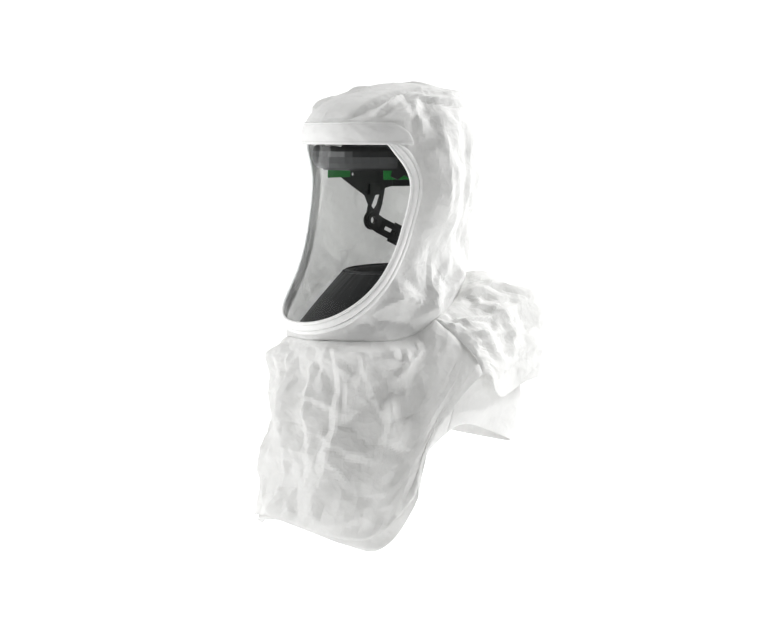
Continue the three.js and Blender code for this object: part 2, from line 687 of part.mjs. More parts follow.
function ratchetBase() {
  const r = SCREW_RADIUS + 0.6;
  const rim = KNOB_RADIUS + 1;
  return onKnobAxis(turned([[r, baseStart], [rim, baseStart], [rim, baseStart + 5.8],
    [rim - 2.4, baseStart + 5.8], [rim - 2.4, baseStart + 2.4], [r, baseStart + 2.4],
    [r, baseStart]], 24));
}

function detentSpring() {
  return onKnobAxis(ring(9.5, 12.5, baseStart + 2.8, baseStart + 4.8, 20));
}

function toothed(radius, depth, teeth, height) {
  const outline = Array.from({ length: teeth * 4 }, (_, k) => {
    const angle = k / (teeth * 4) * 2 * Math.PI;
    const r = radius - (k % 4 < 2 ? 0 : depth);
    return new THREE.Vector2(r * Math.cos(angle), r * Math.sin(angle));
  });
  return new THREE.ExtrudeGeometry(new THREE.Shape(outline), { depth: height, bevelEnabled: false });
}

function ratchetPinion() {
  const gear = toothed(PINION_RADIUS, 1, 8, 2.8).translate(0, 0, baseStart + 2.8);
  const bore = new THREE.CylinderGeometry(SCREW_RADIUS + 0.3, SCREW_RADIUS + 0.3, 8, 12)
    .rotateX(Math.PI / 2).translate(0, 0, baseStart + 4);
  return onKnobAxis(cut(gear, bore));
}

function ratchetKnob() {
  const grip = toothed(KNOB_RADIUS, 1.4, 14, KNOB_DEPTH).translate(0, 0, knobStart);
  const recess = turned([[0, knobEnd - 2.4], [5.6, knobEnd - 2.4], [5.6, knobEnd + 1],
    [0, knobEnd + 1]], 16);
  const bore = turned([[0, knobStart - 1], [SCREW_RADIUS + 0.3, knobStart - 1],
    [SCREW_RADIUS + 0.3, knobEnd], [0, knobEnd]], 12);
  return onKnobAxis(cut(grip, recess, bore));
}

function knobScrew() {
  return onKnobAxis(turned([[0, baseStart + 0.3], [SCREW_RADIUS, baseStart + 0.3],
    [SCREW_RADIUS, knobEnd - 2], [5, knobEnd - 2], [5, knobEnd - 0.5], [0, knobEnd - 0.5]], 14));
}

addMesh('hood_left_panel', shroudSide(), WHITE_CLOTH);
addMesh('hood_right_panel', mirrored(shroudSide()), WHITE_CLOTH);
addMesh('hood_crown_panel', shroudCrown(), WHITE_CLOTH);
addMesh('brow_strip', browStrip(), WHITE_CLOTH);
addMesh('face_lens', lens(), CLEAR);
addMesh('lens_trim', lensTrim(), BINDING);
addMesh('outer_front_bib', bib(OUTER_MID, OUTER_HEM, -96, 96, 0, 22, 7), WHITE_CLOTH);
addMesh('outer_rear_bib', bib(OUTER_MID, OUTER_HEM, 96.4, 263.6, 0, 18, 6), WHITE_CLOTH);
addMesh('inner_front_bib', bib(INNER_MID, INNER_HEM, -96, 96, 9, 20, 6), WHITE_CLOTH);
addMesh('inner_rear_bib', bib(INNER_MID, INNER_HEM, 96.4, 263.6, 9, 16, 6), WHITE_CLOTH);
addMesh('neck_collar', neckCollar(), BLACK_CLOTH);
addMesh('collar_elastic', collarElastic(), RUBBER);
addMesh('headband_frame', headbandFrame(), BLACK_PLASTIC);
addMesh('brow_pad', bandSheet(-34, 34, 9, 29, insideBand, 10, 1, 5), FOAM);
addMesh('brow_diffuser', browDiffuser(), BLACK_PLASTIC);
addMesh('rear_band', bandSheet(122, 238, -18, 2, insideBand, 16, 1, 1.8), BLACK_PLASTIC);
addMesh('rear_pad', bandSheet(146, 214, -20, -1, insideBand - 1.8 - GAP, 10, 1, 4), GREEN);
addMesh('crown_strap', crownStrap(), BLACK_PLASTIC);
addMesh('crown_pad', crownPad(), FOAM);

addMesh('crown_duct', crownDuct(), BLACK_PLASTIC);
addMesh('inlet_spigot', inletSpigot(), BLACK_PLASTIC);
addMesh('swivel_connector', swivelConnector(), BLACK_PLASTIC);
addMesh('spigot_retaining_ring',
  atInlet(ring(spigotOuter - 0.5, spigotOuter + 1.4, 8.4, 9.6, 20)), STEEL);
addMesh('spigot_o_ring',
  atInlet(ring(spigotOuter + 0.3, spigotOuter + 1.5, 19.6, 21.2, 20)), RUBBER);

addMesh('nape_cradle', napeCradle(), BLACK_PLASTIC);
addMesh('nape_pad', napePad(), FOAM);
addMesh('ratchet_base', ratchetBase(), BLACK_PLASTIC);
addMesh('detent_spring', detentSpring(), STEEL);
addMesh('ratchet_pinion', ratchetPinion(), BLACK_PLASTIC);
addMesh('ratchet_knob', ratchetKnob(), BLACK_PLASTIC);
addMesh('knob_screw', knobScrew(), STEEL);

const pairs = [
  ['vent_pad', bandSheet(50, 84, -4, 26, insideBand, 6, 1, 1.2), GREEN],
  ['hook_patch', bandSheet(70, 84, 8, 27, GAP + 2, 3, 1, 2), BLACK_CLOTH],
  ['strap_rivet', rivet(CROWN_STRAP_X - 4.2, BAND_WIDTH / 2 + GAP + 1, RIVET_HOLE - GAP,
    RIVET_HOLE + 1.6).translate(0, 0, STRAP_RIVET_Z), STEEL],
  ['pivot_eyelet', rivet(strapOuter - STRAP_THICK - 1.4, ARM_X + ARM_THICK + 1.4, EYELET_OUTER,
    EYELET_OUTER + EYELET_FLANGE, EYELET_HOLE).translate(0, PIVOT_Y, PIVOT_Z), BLACK_PLASTIC],
  ['release_tab', releaseTab(), GREEN],
  ['nape_strap', napeStrap(), BLACK_PLASTIC],
];
for (const [name, geometry, material] of pairs) {
  addMesh(`${name}_left`, geometry, material);
  addMesh(`${name}_right`, mirrored(geometry), material);
}

export default root;
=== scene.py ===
"""Looks of the hooded air respirator: crumpled cloth, clear lens, moulded harness, soft light."""
import math

import bmesh
import bpy
import numpy as np
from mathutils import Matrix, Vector, bvhtree, geometry


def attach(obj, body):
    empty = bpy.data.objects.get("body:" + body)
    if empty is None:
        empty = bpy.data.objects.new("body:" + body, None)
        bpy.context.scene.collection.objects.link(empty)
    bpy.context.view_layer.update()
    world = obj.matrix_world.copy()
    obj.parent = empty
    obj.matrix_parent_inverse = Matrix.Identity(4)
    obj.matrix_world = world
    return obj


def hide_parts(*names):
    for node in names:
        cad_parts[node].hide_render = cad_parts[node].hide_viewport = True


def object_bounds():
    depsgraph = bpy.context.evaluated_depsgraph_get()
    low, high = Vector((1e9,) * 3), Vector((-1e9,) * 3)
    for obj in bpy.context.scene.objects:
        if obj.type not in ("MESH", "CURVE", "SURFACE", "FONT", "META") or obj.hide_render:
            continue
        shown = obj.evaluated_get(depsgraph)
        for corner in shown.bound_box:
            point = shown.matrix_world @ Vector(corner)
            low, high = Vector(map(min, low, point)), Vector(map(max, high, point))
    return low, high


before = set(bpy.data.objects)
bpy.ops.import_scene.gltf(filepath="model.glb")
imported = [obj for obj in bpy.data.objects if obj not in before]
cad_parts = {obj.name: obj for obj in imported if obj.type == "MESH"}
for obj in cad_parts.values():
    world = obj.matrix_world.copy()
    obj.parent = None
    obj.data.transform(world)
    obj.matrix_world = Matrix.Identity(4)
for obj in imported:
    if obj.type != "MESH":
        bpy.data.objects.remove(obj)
cad_low, cad_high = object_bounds()

# ------------------------------------------------------------------ sizes, in metres
MM = 0.001
CLOTH_THICK = 0.5 * MM
LENS_TOP, LENS_BELLY, LENS_BOTTOM = 45 * MM, -68 * MM, -202 * MM
LENS_TOP_ANGLE, LENS_ANGLE = 54.0, 74.0          # half angles round the head, degrees
BROW_STRIP = 27 * MM
STRIP_ANGLE = 62.0
SEAM_Z, SEAM_RISE = -217 * MM, 80 * MM
CROWN_Z, CROWN_HEIGHT = 40 * MM, 88 * MM
NECK_RADIUS, NECK_Y, NECK_Z, NECK_TILT = 62 * MM, -10 * MM, -130 * MM, 3 * MM
BISECTIONS = 26                                  # halvings that find a height on the crown

# Side wall of the shroud: height, half width, half depth, centre, all in millimetres.
WALL = np.array([
    [40, 112, 131, -1], [0, 114, 134, -6], [-35, 111, 134, -16], [-85, 105, 136, -29],
    [-125, 101, 138, -36], [-170, 99, 137, -38], [-200, 103, 130, -36], [-217, 108, 126, -34]],
    float)


def smoothstep(x, low, high):
    t = np.clip((np.asarray(x, float) - low) / (high - low), 0, 1)
    return t * t * (3 - 2 * t)


def through(rows, x):
    """Smooth curve through the rows of a table; the first column is the variable."""
    rows = rows if rows[-1, 0] > rows[0, 0] else rows[::-1]
    x = np.clip(np.asarray(x, float), rows[0, 0], rows[-1, 0])
    k = np.clip(np.searchsorted(rows[:, 0], x) - 1, 0, len(rows) - 2)
    ahead = np.vstack([rows[1:], rows[-1:]])
    behind = np.vstack([rows[:1], rows[:-1]])
    slope = (ahead - behind)[:, 1:] / (ahead - behind)[:, :1]
    h = rows[k + 1, 0] - rows[k, 0]
    u = ((x - rows[k, 0]) / h)[..., None]
    h = h[..., None]
    return ((2 * u**3 - 3 * u**2 + 1) * rows[k, 1:] + (3 * u**2 - 2 * u**3) * rows[k + 1, 1:]
            + (u**3 - 2 * u**2 + u) * h * slope[k] + (u**3 - u**2) * h * slope[k + 1])


# ------------------------------------------------------------------ surface of the shroud
def wall(angle, z, inset=0.0):
    """Point of the side wall; angle is in degrees from the front, + towards the wearer's left."""
    half_width, half_depth, centre = np.moveaxis(through(WALL, np.asarray(z) / MM) * MM, -1, 0)
    t = np.radians(angle)
    return np.stack([(half_width - inset) * np.sin(t),
                     centre - (half_depth - inset) * np.cos(t),
                     np.broadcast_to(z, np.shape(t)) * 1.0], -1)


def crown(angle, reach):
    """Point of the crown; reach is 1 at the wall and 0 at the top."""
    half_width, half_depth, centre = through(WALL, 40.0) * MM
    t = np.radians(angle)
    front = np.clip(np.cos(t), 0, 1)
    square = 2.9 + 4.1 * front**2
    shoulder = 1 / (2.4 + 0.6 * front**2)
    drop = 0.38 * (front * reach) ** 1.1
    rise = CROWN_HEIGHT * (1 - drop) * (1 - reach**square) ** shoulder
    return np.stack([half_width * np.sin(t) * reach, centre - half_depth * np.cos(t) * reach,
                     CROWN_Z + rise], -1)


def seam_height(angle):
    return SEAM_Z + SEAM_RISE * smoothstep(np.abs(angle), 60, 180)


def skin(angle, z):
    """Wall point, or crown point above the wall."""
    angle, z = np.broadcast_arrays(np.asarray(angle, float), np.asarray(z, float))
    low, high = np.zeros(z.shape), np.ones(z.shape)
    for _ in range(BISECTIONS):
        middle = (low + high) / 2
        above = crown(angle, middle)[..., 2] > z
        low, high = np.where(above, middle, low), np.where(above, high, middle)
    over = crown(angle, (low + high) / 2)
    return np.where((z > CROWN_Z)[..., None], over, wall(angle, np.minimum(z, CROWN_Z)))


def lens_half_angle(z):
    """Half angle of the lens opening at a height."""
    up = np.clip((z - LENS_BELLY) / (LENS_TOP - LENS_BELLY), 0, 1)
    down = np.clip((z - LENS_BELLY) / (LENS_BOTTOM - LENS_BELLY), 0, 1)
    upper = LENS_ANGLE - (LENS_ANGLE - LENS_TOP_ANGLE) * up**3.2
    lower = LENS_ANGLE * (1 - down**2.4) ** (1 / 2.2)
    return np.where(z > LENS_BELLY, upper, lower)


def lens_edge(w):
    """Half of the lens outline, from the top corner (0) to the lowest point (1)."""
    w = np.asarray(w, float)
    split = 0.4
    z_top = LENS_TOP + (LENS_BELLY - LENS_TOP) * np.clip(w / split, 0, 1)
    phi = np.clip((w - split) / (1 - split), 0, 1) * np.pi / 2
    z_low = LENS_BELLY + (LENS_BOTTOM - LENS_BELLY) * np.sin(phi) ** (2 / 2.4)
    angle = np.where(w < split, lens_half_angle(z_top),
                     LENS_ANGLE * np.clip(np.cos(phi), 0, 1) ** (2 / 2.2))
    return angle, np.where(w < split, z_top, z_low)


# ------------------------------------------------------------------ crumpled cloth
class Creases:
    """Random flat facets with sharp folds between them, as in crumpled paper. The heights are
    -1 to 1; size is the spacing of the corners and period is where the pattern repeats."""

    def __init__(self, extent, size, seed, period=None):
        rng = np.random.default_rng(seed)
        (u0, v0), (u1, v1) = extent
        nu = max(int(round((u1 - u0) / size[0])), 2)
        nv = max(int(round((v1 - v0) / size[1])), 2) + 2
        u, v = np.meshgrid(np.arange(nu), np.arange(nv))
        u = (u + rng.uniform(-0.48, 0.48, u.shape) + 0.5 * (v % 2)).ravel() * (u1 - u0) / nu + u0
        v = (v - 1 + rng.uniform(-0.48, 0.48, v.shape)).ravel() * (v1 - v0) / (nv - 2) + v0
        height = rng.uniform(-1, 1, u.size)
        shifts = (-period, 0, period) if period else (0,)
        corners = [(a + s, b) for s in shifts for a, b in zip(u, v)]
        heights = np.tile(height, len(shifts))
        if not period:
            edge = [(u0 - 1, v0 - 1), (u1 + 1, v0 - 1), (u1 + 1, v1 + 1), (u0 - 1, v1 + 1)]
            corners += edge
            heights = np.append(heights, np.zeros(4))
        points, _, faces, origin, *_ = geometry.delaunay_2d_cdt(
            [Vector(c) for c in corners], [], [], 0, 1e-7)
        lift = [heights[o[0]] if o else 0.0 for o in origin]
        self.tree = bvhtree.BVHTree.FromPolygons(
            [(p[0], p[1], h) for p, h in zip(points, lift)], faces)

    def at(self, u, v):
        down = Vector((0, 0, -1))
        flat = []
        for a, b in zip(u.ravel(), v.ravel()):
            hit = self.tree.ray_cast(Vector((a, b, 5.0)), down)[0]
            flat.append(hit.z if hit else 0.0)
        return np.array(flat).reshape(u.shape)


def facets(u, v, layers, seed, period=None):
    """Sum of several sizes of creases: each layer is (width, height, depth) in millimetres."""
    extent = ((u.min(), v.min()), (u.max(), v.max()))
    if period:
        extent = ((u.min(), v.min()), (u.min() + period, v.max()))
    total = np.zeros(u.shape)
    for k, (width, height, depth) in enumerate(layers):
        field = Creases(extent, (width * MM, height * MM), seed + k, period)
        total += depth * MM * field.at(u, v)
    return total


def folds(u, v, lines):
    """Long folds: each is two ends in (u, v), its half width and height in millimetres, and
    how far its middle bows sideways."""
    total = np.zeros(u.shape)
    for (u0, v0), (u1, v1), half, height, bow in lines:
        du, dv = u1 - u0, v1 - v0
        length = math.hypot(du, dv)
        along = ((u - u0) * du + (v - v0) * dv) / length**2
        across = ((u - u0) * dv - (v - v0) * du) / length
        across = across - bow * MM * np.sin(np.pi * np.clip(along, 0, 1))
        taper = smoothstep(along, -0.05, 0.25) * (1 - smoothstep(along, 0.7, 1.1))
        spread = half * MM * (0.6 + 0.7 * np.clip(along, 0, 1))
        steep = np.clip(1 - across / spread, 0, 1)
        gentle = np.clip(1 + across / (2.3 * spread), 0, 1)
        total += height * MM * taper * np.where(across > 0, steep, gentle)
    return total


def normals_of(points, wrap):
    """Outward normals of a grid of points, rows by columns."""
    if wrap:
        du = np.roll(points, -1, 1) - np.roll(points, 1, 1)
    else:
        du = np.gradient(points, axis=1)
    dv = np.gradient(points, axis=0)
    normal = np.cross(du, dv)
    return normal / np.maximum(np.linalg.norm(normal, axis=-1, keepdims=True), 1e-12)


def grid_faces(rows, columns, wrap=False):
    span = columns if wrap else columns - 1
    return [(j * columns + i, j * columns + (i + 1) % columns,
             (j + 1) * columns + (i + 1) % columns, (j + 1) * columns + i)
            for j in range(rows - 1) for i in range(span)]


def new_piece(name, points, faces, material, uv=None, crease=0.0):
    """A mesh piece at the origin; uv is one (u, v) in metres for each point."""
    points = np.asarray(points, float).reshape(-1, 3)
    used = np.unique(np.array([i for f in faces for i in f]))
    place = -np.ones(len(points), int)
    place[used] = np.arange(len(used))
    mesh = bpy.data.meshes.new(name)
    mesh.from_pydata(points[used].tolist(), [], [tuple(int(place[i]) for i in f) for f in faces])
    if uv is not None:
        layer = mesh.uv_layers.new(name="cloth")
        flat = np.asarray(uv, float).reshape(-1, 2)[used]
        index = np.zeros(len(mesh.loops), int)
        mesh.loops.foreach_get("vertex_index", index)
        layer.data.foreach_set("uv", flat[index].ravel())
    mesh.polygons.foreach_set("use_smooth", [True] * len(mesh.polygons))
    mesh.materials.append(material)
    mesh.validate()
    if crease:
        mesh.set_sharp_from_angle(angle=math.radians(crease))
    piece = bpy.data.objects.new(name, mesh)
    bpy.context.scene.collection.objects.link(piece)
    return piece


# ------------------------------------------------------------------ materials
def linear(code):
    """Linear colour of an sRGB hex value."""
    parts = [int(code[i:i + 2], 16) / 255 for i in (1, 3, 5)]
    return [c / 12.92 if c <= 0.04045 else ((c + 0.055) / 1.055) ** 2.4 for c in parts] + [1.0]


def add(tree, kind, settings=None, **links):
    """Adds a node: settings go on the node or on its sockets, links name input sockets."""
    node = tree.nodes.new(kind)
    for name, value in (settings or {}).items():
        if isinstance(name, int) or name in node.inputs:
            node.inputs[name].default_value = value
        else:
            setattr(node, name, value)
    for name, source in links.items():
        socket = node.inputs[int(name[1:])] if name[1:].isdigit() else node.inputs[
            name.replace("_", " ")]
        tree.links.new(source, socket)
    return node


def new_material(name):
    material = bpy.data.materials.new(name)
    material.use_nodes = True
    tree = material.node_tree
    tree.nodes.clear()
    out = tree.nodes.new("ShaderNodeOutputMaterial")
    place = tree.nodes.new("ShaderNodeTexCoord").outputs["Object"]
    return material, tree, out.inputs["Surface"], place


def spun_bonded_cloth(name, tint="#f3f3f2", through_light=0.48, crumple=1.0):
    """Flash-spun polyethylene nonwoven: white random fibres pressed flat, a dull sheen, and
    light that glows through single layers."""
    material, tree, surface, place = new_material(name)
    fibre_mm, mottle_mm = 0.9, 9.0
    mottle = add(tree, "ShaderNodeTexNoise", {"Scale": 1 / (mottle_mm * MM), "Detail": 4.0,
                                               "Roughness": 0.6}, Vector=place)
    fibre = add(tree, "ShaderNodeTexNoise", {"Scale": 1 / (fibre_mm * MM), "Detail": 3.0,
                                              "Distortion": 1.2}, Vector=place)
    pebble = add(tree, "ShaderNodeTexVoronoi", {"Scale": 1 / (1.6 * MM), "feature": "F1"},
                 Vector=place)
    tone = add(tree, "ShaderNodeValToRGB", Fac=mottle.outputs["Fac"])
    tone.color_ramp.elements[0].position = 0.3
    tone.color_ramp.elements[0].color = [c * 0.965 for c in linear(tint)[:3]] + [1]
    tone.color_ramp.elements[1].position = 0.62
    tone.color_ramp.elements[1].color = linear(tint)
    grain = add(tree, "ShaderNodeMath", {"operation": "MULTIPLY_ADD", 1: 0.35},
                _0=pebble.outputs["Distance"], _2=fibre.outputs["Fac"])
    height = add(tree, "ShaderNodeMath", {"operation": "MULTIPLY", 1: 0.05 * MM},
                 _0=grain.outputs[0])
    drift = add(tree, "ShaderNodeTexNoise", {"Scale": 1 / (40 * MM), "Detail": 2.0}, Vector=place)
    shift = add(tree, "ShaderNodeVectorMath", {"operation": "SCALE", "Scale": 26 * MM},
                _0=drift.outputs["Color"])
    bent = add(tree, "ShaderNodeVectorMath", {"operation": "ADD"}, _0=place, _1=shift.outputs[0])
    for crease_mm, depth_mm in ((36, 3.0), (15, 1.3), (7, 0.3)):
        crease = add(tree, "ShaderNodeTexVoronoi", {"Scale": 1 / (crease_mm * MM)},
                     Vector=bent.outputs[0])
        height = add(tree, "ShaderNodeMath", {"operation": "MULTIPLY_ADD",
                                              1: depth_mm * MM * crumple},
                     _0=crease.outputs["Distance"], _2=height.outputs[0])
    bump = add(tree, "ShaderNodeBump", {"Strength": 1.0, "Distance": 1.0},
               Height=height.outputs[0])
    cloth = add(tree, "ShaderNodeBsdfPrincipled", {"Roughness": 0.62, "Specular IOR Level": 0.35,
                                                    "Sheen Weight": 0.15, "Sheen Roughness": 0.5},
                Base_Color=tone.outputs["Color"], Normal=bump.outputs["Normal"])
    glow = add(tree, "ShaderNodeBsdfTranslucent", Color=tone.outputs["Color"],
               Normal=bump.outputs["Normal"])
    mix = add(tree, "ShaderNodeMixShader", {0: through_light}, _1=cloth.outputs[0],
              _2=glow.outputs[0])
    tree.links.new(mix.outputs[0], surface)
    return material


def moulded_plastic(name, tint, rough=0.42, grain_mm=0.7, depth=0.05):
    """Injection-moulded nylon: a fine spark-eroded texture and slightly uneven gloss."""
    material, tree, surface, place = new_material(name)
    grain = add(tree, "ShaderNodeTexNoise", {"Scale": 1 / (grain_mm * MM), "Detail": 2.0},
                Vector=place)
    cloud = add(tree, "ShaderNodeTexNoise", {"Scale": 1 / (22 * MM), "Detail": 3.0}, Vector=place)
    gloss = add(tree, "ShaderNodeMapRange", {"To Min": rough - 0.06, "To Max": rough + 0.08},
                Value=cloud.outputs["Fac"])
    tone = add(tree, "ShaderNodeValToRGB", Fac=cloud.outputs["Fac"])
    tone.color_ramp.elements[0].color = [c * 0.82 for c in linear(tint)[:3]] + [1]
    tone.color_ramp.elements[1].color = linear(tint)
    bump = add(tree, "ShaderNodeBump", {"Strength": 0.5, "Distance": depth * MM},
               Height=grain.outputs["Fac"])
    body = add(tree, "ShaderNodeBsdfPrincipled", {"IOR": 1.5}, Base_Color=tone.outputs["Color"],
               Roughness=gloss.outputs["Result"], Normal=bump.outputs["Normal"])
    tree.links.new(body.outputs[0], surface)
    return material


def open_cell_foam(name, tint, cell_mm=1.1):
    """Reticulated foam: small open cells and a dry, light-eating surface."""
    material, tree, surface, place = new_material(name)
    cells = add(tree, "ShaderNodeTexVoronoi", {"Scale": 1 / (cell_mm * MM), "feature": "F1"},
                Vector=place)
    tone = add(tree, "ShaderNodeValToRGB", Fac=cells.outputs["Distance"])
    tone.color_ramp.elements[0].color = [c * 0.35 for c in linear(tint)[:3]] + [1]
    tone.color_ramp.elements[1].position = 0.55
    tone.color_ramp.elements[1].color = linear(tint)
    bump = add(tree, "ShaderNodeBump", {"Strength": 0.8, "Distance": 0.5 * MM},
               Height=cells.outputs["Distance"])
    body = add(tree, "ShaderNodeBsdfPrincipled", {"Roughness": 0.95, "Sheen Weight": 0.2},
               Base_Color=tone.outputs["Color"], Normal=bump.outputs["Normal"])
    tree.links.new(body.outputs[0], surface)
    return material


def stretch_knit(name, tint, rib_mm=1.4):
    """Fine rib knit of the neck collar: vertical wales on the cloth's own coordinates, soft
    sheen along the folds."""
    material, tree, surface, place = new_material(name)
    cloth = add(tree, "ShaderNodeUVMap", {"uv_map": "cloth"})
    wale = add(tree, "ShaderNodeTexWave", {"Scale": 1 / (rib_mm * MM) / 20, "Distortion": 0.6,
                                            "bands_direction": "X"}, Vector=cloth.outputs["UV"])
    fuzz = add(tree, "ShaderNodeTexNoise", {"Scale": 1 / (0.6 * MM), "Detail": 3.0}, Vector=place)
    mixed = add(tree, "ShaderNodeMath", {"operation": "ADD"}, _0=wale.outputs["Fac"],
                _1=fuzz.outputs["Fac"])
    tone = add(tree, "ShaderNodeValToRGB", Fac=fuzz.outputs["Fac"])
    tone.color_ramp.elements[0].color = [c * 0.6 for c in linear(tint)[:3]] + [1]
    tone.color_ramp.elements[1].color = linear(tint)
    bump = add(tree, "ShaderNodeBump", {"Strength": 0.45, "Distance": 0.3 * MM},
               Height=mixed.outputs[0])
    body = add(tree, "ShaderNodeBsdfPrincipled", {"Roughness": 0.85, "Sheen Weight": 0.12,
                                                   "Sheen Roughness": 0.4},
               Base_Color=tone.outputs["Color"], Normal=bump.outputs["Normal"])
    tree.links.new(body.outputs[0], surface)
    return material


def clear_film(name):
    """Clear acetate film of the lens: nearly invisible face on, bright at grazing angles."""
    material, tree, surface, place = new_material(name)
    wave = add(tree, "ShaderNodeTexNoise", {"Scale": 1 / (70 * MM), "Detail": 1.0}, Vector=place)
    bump = add(tree, "ShaderNodeBump", {"Strength": 0.25, "Distance": 0.6 * MM},
               Height=wave.outputs["Fac"])
    edge = add(tree, "ShaderNodeLayerWeight", {"Blend": 0.2}, Normal=bump.outputs["Normal"])
    steep = add(tree, "ShaderNodeMath", {"operation": "POWER", 1: 2.0}, _0=edge.outputs["Facing"])
    fac = add(tree, "ShaderNodeMath", {"operation": "MULTIPLY_ADD", 1: 0.5, 2: 0.006},
              _0=steep.outputs[0])
    through = add(tree, "ShaderNodeBsdfTransparent", {"Color": (0.975, 0.985, 0.985, 1)})
    gloss = add(tree, "ShaderNodeBsdfAnisotropic", {"Roughness": 0.08, "Color": (1, 1, 1, 1)},
                Normal=bump.outputs["Normal"])
    mix = add(tree, "ShaderNodeMixShader", _0=fac.outputs[0], _1=through.outputs[0],
              _2=gloss.outputs[0])
    tree.links.new(mix.outputs[0], surface)
    return material


def rolled_steel(name):
    """Zinc-plated steel: bright, faintly brushed and blotched."""
    material, tree, surface, place = new_material(name)
    blot = add(tree, "ShaderNodeTexNoise", {"Scale": 1 / (3 * MM), "Detail": 4.0}, Vector=place)
    gloss = add(tree, "ShaderNodeMapRange", {"To Min": 0.22, "To Max": 0.42},
                Value=blot.outputs["Fac"])
    body = add(tree, "ShaderNodeBsdfPrincipled", {"Base Color": linear("#b9bcc0"),
                                                   "Metallic": 1.0}, Roughness=gloss.outputs[0])
    tree.links.new(body.outputs[0], surface)
    return material


NONWOVEN = spun_bonded_cloth("nonwoven cloth")
INNER_CLOTH = spun_bonded_cloth("inner nonwoven cloth", "#efefee", 0.38, 0.6)
BINDING = spun_bonded_cloth("folded binding", "#f0f0ef", 0.1, 0.05)
STRIP_CLOTH = spun_bonded_cloth("brow strip cloth", "#f0f0ef", 0.3, 0.12)
THREAD = moulded_plastic("sewing thread", "#e4e4e2", 0.6, 0.4)
LENS_FILM = clear_film("clear lens film")
COLLAR_KNIT = stretch_knit("black stretch knit", "#0c0d0e")
HARNESS_BLACK = moulded_plastic("black moulded plastic", "#0a0b0c")
SWIVEL_BLACK = moulded_plastic("black gloss plastic", "#08090a", 0.32)
GREEN_MESH = open_cell_foam("green vent mesh", "#1d7a33", 1.6)
GREEN_FOAM = open_cell_foam("green foam", "#3a9a4a")
BLACK_FOAM = open_cell_foam("black foam", "#242628")
GREEN_PLASTIC = moulded_plastic("green moulded plastic", "#37a04b", 0.4)
HOOK_TAPE = open_cell_foam("black hook tape", "#1a1b1d", 0.8)
RUBBER = moulded_plastic("black rubber", "#141516", 0.7, 0.5)
STEEL = rolled_steel("zinc-plated steel")

# ------------------------------------------------------------------ shroud
COLUMNS = 232
WALL_ROWS = 80
CROWN_ROWS = 54
SHARP_CREASE = 11.0                # folds past this angle, in degrees, are drawn sharp
GIRTH = 0.76                       # length round the shroud at the headband
BIB_GIRTH = 0.90                   # length round the bib, and its drop
BIB_DROP = 0.25
BIB_STEP, BIB_ROWS = 0.0034, 76


def along_girth(angle):
    """Length round the shroud that an angle in degrees spans."""
    return angle / 360 * GIRTH


def declare_sheet(piece):
    """Reads the cloth coordinates of the piece; nothing is done with them."""
    mesh = piece.data
    layer = mesh.uv_layers["cloth"].data
    flat = np.zeros(len(layer) * 2)
    layer.foreach_get("uv", flat)


def cloth_piece(name, points, faces, material, uv, nodes=()):
    """A sheet of cloth on the hood with its thickness; it stands for the named nodes."""
    piece = new_piece("cloth_" + name, points, faces, material, uv, SHARP_CREASE)
    declare_sheet(piece)
    shell = piece.modifiers.new("thickness", "SOLIDIFY")
    shell.thickness = CLOTH_THICK
    shell.offset = -1
    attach(piece, "hood")
    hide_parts(*(nodes or [name]))


def shroud_grid():
    """Angles, cloth coordinates and points of the whole shroud, seam to crown."""
    angle = np.linspace(-180, 180, COLUMNS, endpoint=False)
    up = np.linspace(0, 1, WALL_ROWS)[:, None]
    low = seam_height(angle)[None]
    z = low + (LENS_TOP - low) * up
    below = skin(np.broadcast_to(angle, z.shape), z)
    near, far = np.zeros(COLUMNS), np.ones(COLUMNS)
    for _ in range(BISECTIONS):
        middle = (near + far) / 2
        above = crown(angle, middle)[..., 2] > LENS_TOP
        near, far = np.where(above, middle, near), np.where(above, far, middle)
    fine = np.linspace(0, 1, 500)[:, None]
    path = crown(np.broadcast_to(angle, (500, COLUMNS)), near[None] * (1 - fine**1.6))
    steps = np.linalg.norm(np.diff(path, axis=0), axis=-1)
    length = np.concatenate([np.zeros((1, COLUMNS)), np.cumsum(steps, 0)])
    above = np.empty((CROWN_ROWS, COLUMNS, 3))
    for i in range(COLUMNS):
        at = np.linspace(0, length[-1, i], CROWN_ROWS + 1)[1:]
        for k in range(3):
            above[:, i, k] = np.interp(at, length[:, i], path[:, i, k])
    points = np.concatenate([below, above])
    rise = np.linspace(0, 1, CROWN_ROWS + 1)[1:, None] * length[-1][None]
    v = np.concatenate([z, LENS_TOP + rise])
    angle = np.broadcast_to(angle, v.shape)
    return angle, along_girth(angle), v, points


def lens_distance(u, v):
    """Distance along the cloth from the edge of the lens."""
    angle, z = lens_edge(np.linspace(0, 1, 160))
    edge_u, edge_v = along_girth(angle), z
    near = np.full(u.shape, 1.0)
    for a, b in zip(edge_u, edge_v):
        near = np.minimum(near, np.hypot(np.abs(u) - a, v - b))
    top = np.where(np.abs(u) < edge_u[0], np.abs(v - LENS_TOP), 1.0)
    return np.minimum(near, top)


# Sizes of crease in each cloth: width, height and depth, in millimetres.
SHROUD_WIDE = [(70, 84, 9.0)]
SHROUD_FINE = [(36, 50, 7.0), (18, 25, 3.2), (9, 12, 0.8)]
OUTER_LAYERS = [(58, 96, 9.0), (30, 46, 8.5), (15, 22, 3.8), (8, 11, 0.9)]
INNER_LAYERS = [(60, 90, 4.0), (30, 44, 3.4), (16, 22, 1.4)]

